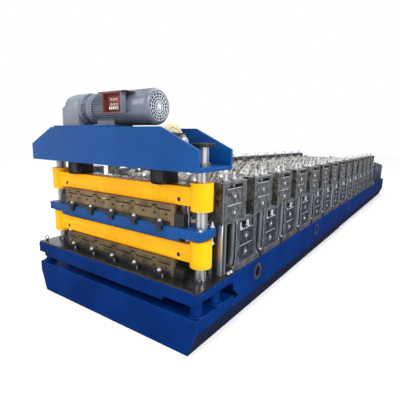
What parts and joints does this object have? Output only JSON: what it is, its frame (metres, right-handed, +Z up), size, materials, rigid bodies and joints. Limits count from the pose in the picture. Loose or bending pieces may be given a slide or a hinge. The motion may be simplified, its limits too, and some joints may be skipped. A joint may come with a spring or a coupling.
{
  "type": "double-layer roll forming machine",
  "caption": "Long two-level roll former for ribbed roof sheet, with roll stands on a low frame and a crank-driven profile shear with yellow rams at its exit end.",
  "frame": {"origin": "centre of the machine's box on the floor", "axes": "+Y along the machine from the shear to the infeed, +X to the machine's right seen from the shear end, +Z up"},
  "size_m": [1.92, 9.5, 1.865],
  "materials": {
    "rail_blue": "gloss enamel",
    "head_blue": "gloss enamel",
    "ram_yellow": "gloss enamel",
    "chrome_steel": "hard chrome plating",
    "ground_steel": "ground",
    "table_steel": "ground and oiled, glossy",
    "knife_steel": "oiled tool steel",
    "black_steel": "blackened",
    "stand_steel": "blue-black",
    "chock_steel": "blue-black",
    "pad_grey": "ground",
    "roll_steel": "chrome plated",
    "motor_grey": "blue-grey enamel",
    "reducer_grey": "grey enamel",
    "terminal_red": "red-brown primer",
    "cover_grey": "dark grey",
    "cream_disc": "cream paint",
    "hub_white": "bright",
    "infeed_steel": "blue-black",
    "bearing_black": "dark paint"
  },
  "bodies": {
    "frame": {"front_rail_right": "rail_blue", "front_rail_left": "rail_blue", "rear_rail_right": "rail_blue", "rear_rail_left": "rail_blue", "rear_end_plate": "rail_blue", "cross_members": "rail_blue", "shear_base_box": "rail_blue", "stand_pads": "pad_grey", "lower_stand_frames_right": "stand_steel", "lower_stand_frames_left": "stand_steel", "upper_stand_frames_right": "stand_steel", "upper_stand_frames_left": "stand_steel", "lower_chocks": "chock_steel", "upper_chocks": "chock_steel", "adjusting_screws": "chrome_steel", "front_posts": "chrome_steel", "lower_bottom_rolls": "roll_steel", "lower_top_rolls": "roll_steel", "upper_bottom_rolls": "roll_steel", "upper_top_rolls": "roll_steel", "shear_table_frame": "head_blue", "shear_table_plate": "table_steel", "table_legs": "head_blue", "guide_columns": "chrome_steel", "column_caps": "black_steel", "middle_beam": "head_blue", "crosshead_front_plate": "head_blue", "crosshead_rear_plate": "head_blue", "crosshead_floor": "head_blue", "crosshead_ribs": "head_blue", "motor_mount_plate": "head_blue", "crank_shaft": "ground_steel", "shaft_bearings": "bearing_black", "connecting_rods": "black_steel", "brake_disc": "cream_disc", "shaft_hub": "hub_white", "gear_reducer": "reducer_grey", "motor_flange": "motor_grey", "motor_body": "motor_grey", "fan_cowl": "motor_grey", "terminal_box": "terminal_red", "motor_cover_plate": "cover_grey", "upper_fixed_knife": "knife_steel", "lower_fixed_knife": "knife_steel", "knife_posts": "black_steel", "knife_clamps": "black_steel", "infeed_side_right": "infeed_steel", "infeed_side_left": "infeed_steel", "infeed_tables": "ground_steel", "infeed_rollers": "roll_steel"},
    "shear_ram": {"upper_ram_beam": "ram_yellow", "lower_ram_beam": "ram_yellow", "upper_moving_knife": "knife_steel", "lower_moving_knife": "knife_steel", "crank_blocks": "black_steel", "ram_tie_rods": "ground_steel"}
  },
  "joints": [
    {"name": "shear_ram_slide", "type": "slide", "parent": "frame", "child": "shear_ram", "axis": [0, 0, -1], "range_m": [0, 0.05]}
  ]
}
